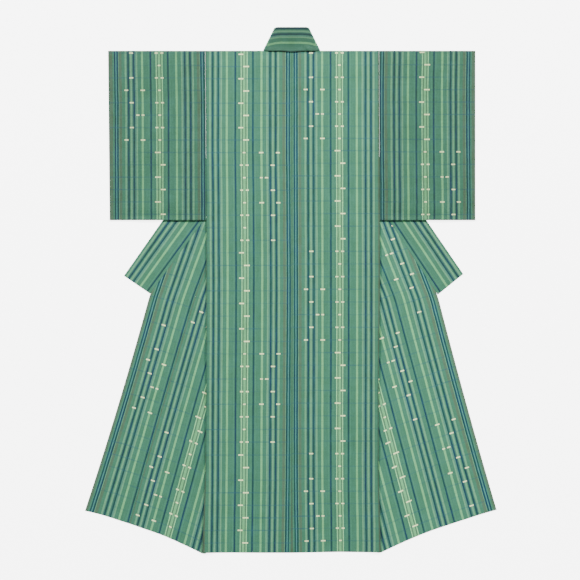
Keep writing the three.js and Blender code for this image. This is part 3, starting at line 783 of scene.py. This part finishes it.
def stripe_colour(tree, distance):
    """The stripes as two ramps over the distance from the loom's middle, because one ramp
    has too few stops."""
    place = math_node(tree, "DIVIDE", distance, HALF_LOOM)
    ramps = []
    for stripes in (STRIPES[:STRIPES_IN_RAMP], STRIPES[STRIPES_IN_RAMP:]):
        stops = []
        last = 0.0
        for start, end, colour in stripes:
            if start > last:
                stops.append((last * MM / HALF_LOOM, GREEN))
            stops.append((start * MM / HALF_LOOM, colour))
            last = end
        stops.append((last * MM / HALF_LOOM, GREEN))
        ramps.append(ramp_node(tree, place, stops))
    change = (STRIPES[STRIPES_IN_RAMP - 1][1] + STRIPES[STRIPES_IN_RAMP][0]) / 2 * MM
    return mix_colour(tree, math_node(tree, "GREATER_THAN", distance, change), *ramps)


def tick_mask(tree, u, v):
    """Where a pale weft mark shows: near a row's middle, inside a mark's length, on its rows."""
    row_place = math_node(tree, "DIVIDE", v, TICK_PITCH)
    within = math_node(tree, "SUBTRACT", math_node(tree, "FRACT", row_place), 0.5)
    height = math_node(tree, "MULTIPLY", math_node(tree, "ABSOLUTE", within), TICK_PITCH / MM)
    on_row = math_node(tree, "SUBTRACT", TICK_HALF_HEIGHT, height, clamp=True)
    row = math_node(tree, "FLOORED_MODULO", math_node(tree, "FLOOR", row_place), TICK_ROWS)
    place = math_node(tree, "DIVIDE", math_node(tree, "ADD", row, 0.5), TICK_ROWS)
    total = None
    for centre, length, rows in TICKS:
        stops = [(r / TICK_ROWS, (float(r in rows),) * 3) for r in range(TICK_ROWS)]
        kept = [s for k, s in enumerate(stops) if k == 0 or s[1] != stops[k - 1][1]]
        row_on = ramp_node(tree, place, kept)
        off = math_node(tree, "ABSOLUTE", math_node(tree, "SUBTRACT", u, centre * MM))
        inside = math_node(tree, "SUBTRACT", length * MM / 2, off)
        inside = math_node(tree, "MULTIPLY", inside, 1 / MM)
        inside = math_node(tree, "ADD", inside, 0.5, clamp=True)
        shown = math_node(tree, "MULTIPLY", inside, row_on)
        total = shown if total is None else math_node(tree, "MAXIMUM", total, shown)
    return math_node(tree, "MULTIPLY", total, on_row), on_row


def cloth_material(name, shade=1.0, ticks=True):
    """Plain-woven cloth: warp stripes, weft marks, uneven dye and a fine weave in relief."""
    material = bpy.data.materials.new(name)
    material.use_nodes = True
    tree = material.node_tree
    shader = tree.nodes["Principled BSDF"]
    shader.inputs["Roughness"].default_value = 0.78
    shader.inputs["Specular IOR Level"].default_value = 0.25
    shader.inputs["Sheen Weight"].default_value = 0.12
    shader.inputs["Sheen Roughness"].default_value = 0.5
    uv = node(tree, "ShaderNodeUVMap", uv_map="cloth").outputs[0]
    place = node(tree, "ShaderNodeTexCoord").outputs["Object"]
    split = node(tree, "ShaderNodeSeparateXYZ")
    tree.links.new(uv, split.inputs[0])
    u, v = split.outputs[0], split.outputs[1]

    def noise(scale_u, scale_v, detail, seed, source=uv):
        """Soft noise about zero, drawn out by its scale across and along."""
        mapping = node(tree, "ShaderNodeMapping")
        mapping.inputs["Scale"].default_value = (scale_u, scale_v, 1)
        mapping.inputs["Location"].default_value = (seed, seed * 0.7, seed * 1.3)
        tree.links.new(source, mapping.inputs[0])
        made = node(tree, "ShaderNodeTexNoise")
        made.inputs["Scale"].default_value = 1.0
        made.inputs["Detail"].default_value = detail
        tree.links.new(mapping.outputs[0], made.inputs["Vector"])
        return math_node(tree, "SUBTRACT", made.outputs[0], 0.5)

    drift = math_node(tree, "MULTIPLY", noise(7, 5, 1.0, 3.1, place), 0.1 * MM)
    shake = math_node(tree, "MULTIPLY", noise(60, 25, 1.0, 5.7, place), 1.2 * MM)
    moved = math_node(tree, "ADD", math_node(tree, "ADD", u, drift), shake)
    colour = stripe_colour(tree, math_node(tree, "ABSOLUTE", moved))
    blueness = noise(16, 11, 2.0, 11.0)
    colour = mix_colour(tree, dark_share(tree, colour, blueness), colour, NAVY_BLUE)
    streaks = noise(520, 14, 3.0, 1.0)
    patches = noise(45, 30, 3.0, 8.0, place)
    weft = noise(6, 900, 2.0, 4.0)
    mottle = noise(330, 240, 2.0, 6.0)
    # The tone starts at the material's shade, painted light or shade for the panels it covers; uneven
    # dye is added on top
    tone = shade
    for part, strength in ((streaks, 0.36), (weft, 0.26), (patches, 0.26), (mottle, 0.5)):
        tone = math_node(tree, "ADD", tone, math_node(tree, "MULTIPLY", part, strength))
    tint = math_node(tree, "ADD", math_node(tree, "MULTIPLY", patches, 1.8), 0.35, clamp=True)
    tinted = mix_colour(tree, tint, colour, mix_colour(tree, 0.1, colour, DYE_TINT))
    if ticks:
        mask, on_row = tick_mask(tree, moved, v)
        uneven = math_node(tree, "MULTIPLY", noise(9, 26, 1.0, 2.0), 1.4)
        uneven = math_node(tree, "ADD", uneven, 0.3, clamp=True)
        blue_line = math_node(tree, "MULTIPLY", on_row, uneven)
        tinted = mix_colour(tree, math_node(tree, "MULTIPLY", blue_line, 0.8), tinted, WEFT_BLUE)
        pale = mix_colour(tree, 0.12, MARK, colour)
        tinted = mix_colour(tree, math_node(tree, "MULTIPLY", mask, 0.95), tinted, pale)
    # Painted shade along seams and edges, read from the mesh's shade attribute
    painted_edge_shade = node(tree, "ShaderNodeAttribute", attribute_name="shade").outputs["Fac"]
    tone = math_node(tree, "MULTIPLY", tone, painted_edge_shade)
    combine = node(tree, "ShaderNodeCombineXYZ")
    for k in range(3):
        tree.links.new(tone, combine.inputs[k])
    shaded = mix_colour(tree, 1.0, tinted, combine.outputs[0], "MULTIPLY")
    tree.links.new(shaded, shader.inputs["Base Color"])
    weave_relief(tree, u, v, streaks, shader)
    return material


def dark_share(tree, colour, blueness):
    """How blue a thread is: only the dark stripes are, in patches along their length."""
    split = node(tree, "ShaderNodeSeparateColor")
    tree.links.new(colour, split.inputs[0])
    dark = math_node(tree, "SUBTRACT", 0.1, split.outputs[1])
    dark = math_node(tree, "MULTIPLY", dark, 25.0, clamp=True)
    patch = math_node(tree, "ADD", math_node(tree, "MULTIPLY", blueness, 5.0), 0.35, clamp=True)
    return math_node(tree, "MULTIPLY", dark, math_node(tree, "MULTIPLY", patch, 0.75))


def weave_relief(tree, u, v, streaks, shader):
    """Plain weave: warp and weft threads as sines whose over and under alternate."""
    wave_u = math_node(tree, "SINE", math_node(tree, "MULTIPLY", u, 2 * math.pi / WEAVE_PITCH))
    wave_v = math_node(tree, "SINE", math_node(tree, "MULTIPLY", v, 2 * math.pi / WEAVE_PITCH))
    grain = math_node(tree, "MULTIPLY", wave_u, wave_v)
    slub = math_node(tree, "MULTIPLY", streaks, 2.0)
    height = math_node(tree, "ADD", grain, slub)
    bump = node(tree, "ShaderNodeBump")
    bump.inputs["Strength"].default_value = 0.35
    bump.inputs["Distance"].default_value = 0.12 * MM
    tree.links.new(height, bump.inputs["Height"])
    tree.links.new(bump.outputs[0], shader.inputs["Normal"])


# Camera, lights and floor

IMAGE_SIDE = 580
CAMERA_HEIGHT = 9.0
PICTURE_CENTRE = (-5.6 * MM, 1.65 * MM)
LAMP_SIZE = 1.4
LAMP_POWER = 1350
FLOOR_HALF_SIDE = 40.0
FLOOR_GLOW = 5.0


def make_camera():
    """Straight above, through a long lens: the picture's side is 580 steps of 3.3 mm."""
    data = bpy.data.cameras.new("camera")
    data.sensor_width = 36
    data.lens = data.sensor_width * CAMERA_HEIGHT / (IMAGE_SIDE * PIXEL)
    data.clip_end = 100
    camera = bpy.data.objects.new("camera", data)
    camera.location = (*PICTURE_CENTRE, CAMERA_HEIGHT)
    bpy.context.scene.collection.objects.link(camera)
    bpy.context.scene.camera = camera


def area_light(name, place):
    """A soft square lamp that points at the garment's middle."""
    data = bpy.data.lights.new(name, "AREA")
    data.size = LAMP_SIZE
    data.energy = LAMP_POWER
    light = bpy.data.objects.new(name, data)
    light.location = place
    light.rotation_euler = (-Vector(place)).to_track_quat("-Z", "Y").to_euler()
    bpy.context.scene.collection.objects.link(light)


def make_surroundings():
    """Even white light from all round, a soft lamp to either side above the collar, and a pale
    floor that glows, so that it shows nearly white as in the photo."""
    world = bpy.data.worlds.new("studio")
    bpy.context.scene.world = world
    world.use_nodes = True
    background = world.node_tree.nodes["Background"]
    background.inputs["Color"].default_value = (1, 1, 1, 1)
    background.inputs["Strength"].default_value = 0.5
    area_light("key_left", (-5.0, 6.0, 4.4))
    area_light("key_right", (5.0, 6.0, 4.4))
    far = FLOOR_HALF_SIDE
    corners = [(-far, -far, 0), (far, -far, 0), (far, far, 0), (-far, far, 0)]
    mesh = bpy.data.meshes.new("floor")
    mesh.from_pydata(corners, [], [(0, 1, 2, 3)])
    floor = bpy.data.objects.new("floor", mesh)
    bpy.context.scene.collection.objects.link(floor)
    material = bpy.data.materials.new("pale_floor")
    material.use_nodes = True
    shader = material.node_tree.nodes["Principled BSDF"]
    shader.inputs["Base Color"].default_value = (0.93, 0.93, 0.93, 1)
    shader.inputs["Roughness"].default_value = 0.9
    shader.inputs["Emission Color"].default_value = (1, 1, 1, 1)
    shader.inputs["Emission Strength"].default_value = FLOOR_GLOW
    mesh.materials.append(material)


make_camera()
make_surroundings()
striped = cloth_material("striped_cloth")
# Copies of the one cloth with painted light and shade: the right front painted lighter, the sleeves
# and the collar darker
right_front_striped = cloth_material("striped_front_cloth_right", shade=1.13)
sleeve_striped = cloth_material("striped_sleeve_cloth", shade=0.72)
collar_cloth = cloth_material("collar_cloth", shade=0.97, ticks=False)


def dress(piece, material, nodes):
    """Material and body for a piece, and the solids it stands for hidden."""
    piece.data.materials.append(material)
    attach(piece, "root")
    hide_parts(*nodes)


# Each upright panel's grain: which way its cloth runs, how closely its stripes are drawn
# together, its loom middle as (x, y) points of the picture, and heights in the picture with the
# row of weft marks that lies there
GRAINS = {
    "back_cloth_left": {
        "run": -1,
        "scale": 1,
        "middle": ((244.2, 56), (244.1, 152), (244.6, 200), (245, 280), (244.8, 340), (244.4, 400),
                   (244, 480), (243.1, 550)),
        "rows": ((54.4, 15), (140, 8), (152.7, 7), (240.3, 0), (252.8, -1), (341.4, -8),
                 (353.8, -9), (442, -16), (455, -17), (543, -24)),
    },
    "back_cloth_right": {
        "run": 1,
        "scale": 1,
        "middle": ((339.4, 56), (339.5, 152), (339.8, 272), (339.8, 344), (339.6, 420),
                   (339.7, 488), (340.4, 540)),
        "rows": ((53, 0), (150.7, 8), (251.3, 16), (352.6, 24), (453.6, 32)),
    },
    "sleeve_cloth_left": {
        "run": 1,
        "scale": 1.016,
        "middle": ((159, 56), (159.8, 104), (159.9, 150), (160.1, 200)),
        "rows": ((53.1, 0), (152.5, 8), (214.3, 13)),
    },
    "sleeve_cloth_right": {
        "run": -1,
        "scale": 1.016,
        "middle": ((425.3, 56), (424.8, 90), (425, 150), (425.5, 200)),
        "rows": ((52.4, 15), (139.4, 8), (151.9, 7), (214.5, 2)),
    },
}
for key, side in SIDES.items():
    name = f"back_cloth_{key}"
    back = back_panel(name, side, GRAINS[name])
    dress(back, striped, [f"back_{key}", f"shoulder_{key}"])
    name = f"sleeve_cloth_{key}"
    sleeve = sleeve_panel(name, side, GRAINS[name])
    dress(sleeve, sleeve_striped, [f"sleeve_{key}"])

# Loom places across a front and its overlap panel, and the length from the hem to a front's
# row zero of the weft marks
SPREAD = (
    # side, run, front's u at side seam and overlap seam, overlap's u at seam and edge, lengths
    ("left", 1, (119 * MM, -130 * MM), (-23 * MM, -165 * MM), 0.3253, 0.6587),
    ("right", -1, (-120 * MM, 125 * MM), (23 * MM, 165 * MM), 0.366, 0.037),
)
for key, run, front_u, overlap_u, front_zero, overlap_zero in SPREAD:
    side = SIDES[key]

    def front_u_at(at):
        return run * np.interp(at, (0, OVERLAP_SHARE), front_u)

    def overlap_u_at(at):
        return run * np.interp(at, (OVERLAP_SHARE, 1), overlap_u)

    def front_v(along):
        return run * (front_zero - along) + TICK_PITCH / 2

    def overlap_v(along):
        return run * (overlap_zero - along) + TICK_PITCH / 2

    front = front_panel(f"front_cloth_{key}", side, front_u_at, front_v)
    cloth = striped if key == "left" else right_front_striped
    dress(front, cloth, [f"front_{key}"])
    overlap = overlap_panel(f"overlap_cloth_{key}", side, overlap_u_at, overlap_v)
    dress(overlap, cloth, [f"okumi_{key}"])

collar = collar_strip("collar_cloth")
dress(collar, collar_cloth, ["collar_left", "collar_right", "collar_neck"])
